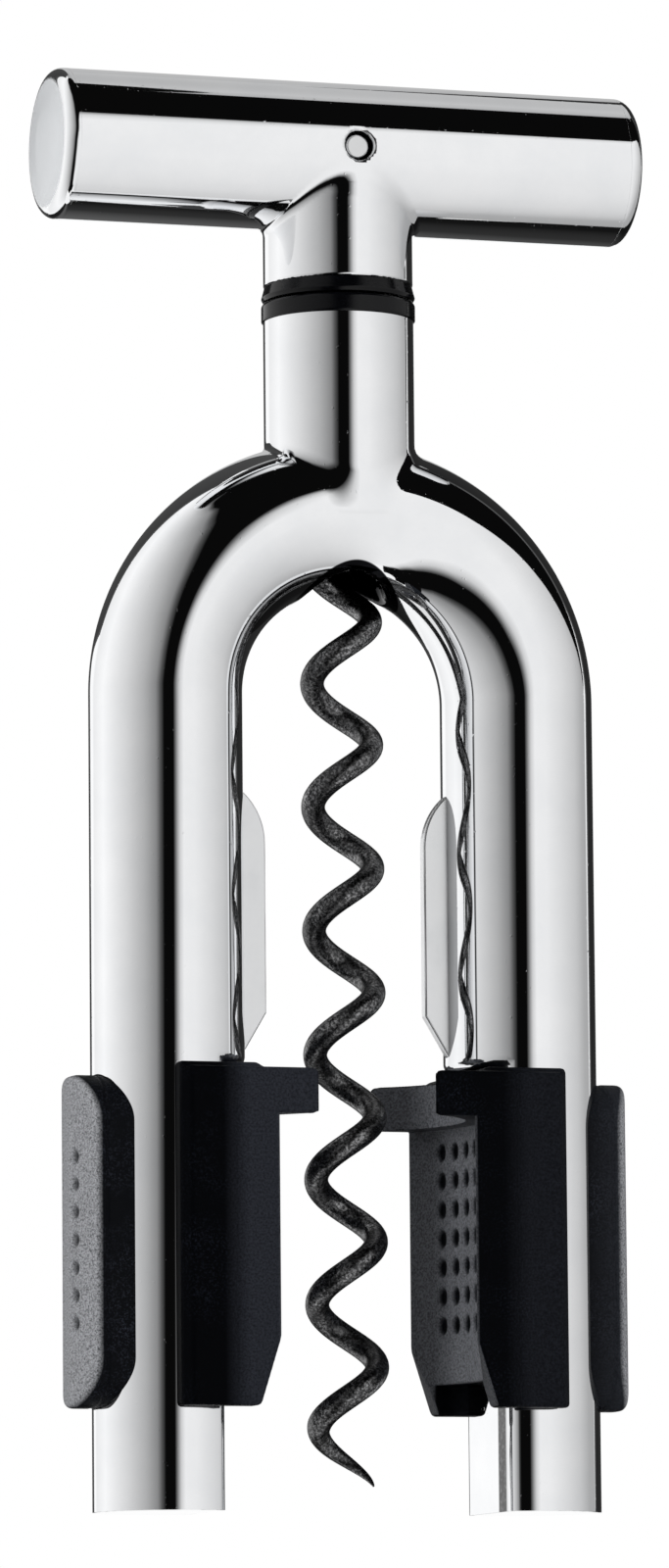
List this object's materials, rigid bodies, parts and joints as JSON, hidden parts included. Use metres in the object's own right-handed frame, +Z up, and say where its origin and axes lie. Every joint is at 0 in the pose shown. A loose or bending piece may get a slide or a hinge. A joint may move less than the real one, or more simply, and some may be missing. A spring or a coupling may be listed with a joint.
{
  "type": "corkscrew",
  "caption": "Self-pulling corkscrew: a turning T-handle drives a coated worm through an arched chrome yoke that stands on its legs, with squeeze jaws for the bottle neck.",
  "frame": {"origin": "on the floor, midway between the two feet, under the worm", "axes": "+Z up along the worm's axis, +X towards the right leg as seen from the front, -Y the front"},
  "size_m": [0.0698, 0.024, 0.163],
  "materials": {
    "chrome": "mirror chrome plate on die-cast zinc",
    "polished_steel": "polished stainless plate",
    "steel": "turned or drawn steel",
    "bearing_plastic": "satin black moulded plastic",
    "worm_coating": "grainy black non-stick coat",
    "jaw_plastic": "satin black moulded plastic, grained in the seat",
    "grip_rubber": "grained black soft-touch plastic"
  },
  "bodies": {
    "frame": {"frame_yoke": "chrome", "left_cork_fin": "polished_steel", "right_cork_fin": "polished_steel", "guide_bush": "bearing_plastic", "left_return_springs": "steel", "right_return_springs": "steel"},
    "handle": {"handle_bar": "chrome", "left_end_cap": "chrome", "right_end_cap": "chrome", "spindle": "steel", "cross_pin": "steel", "upper_ring": "bearing_plastic", "thrust_washer": "steel", "retaining_clip": "steel", "worm": "worm_coating"},
    "left_clamp": {"left_jaw": "jaw_plastic", "left_grip": "grip_rubber", "left_link_pins": "steel"},
    "right_clamp": {"right_jaw": "jaw_plastic", "right_grip": "grip_rubber", "right_link_pins": "steel"}
  },
  "joints": [
    {"name": "handle_spin", "type": "hinge", "parent": "frame", "child": "handle", "pos_m": [0, 0, 0.13], "axis": [0, 0, 1], "continuous": true},
    {"name": "left_squeeze", "type": "slide", "parent": "frame", "child": "left_clamp", "axis": [1, 0, 0], "range_m": [0, 0.0015], "stiffness_N_per_m": 400, "deforming": ["left_return_springs"]},
    {"name": "right_squeeze", "type": "slide", "parent": "frame", "child": "right_clamp", "axis": [-1, 0, 0], "range_m": [0, 0.0015], "stiffness_N_per_m": 400, "deforming": ["right_return_springs"]}
  ]
}
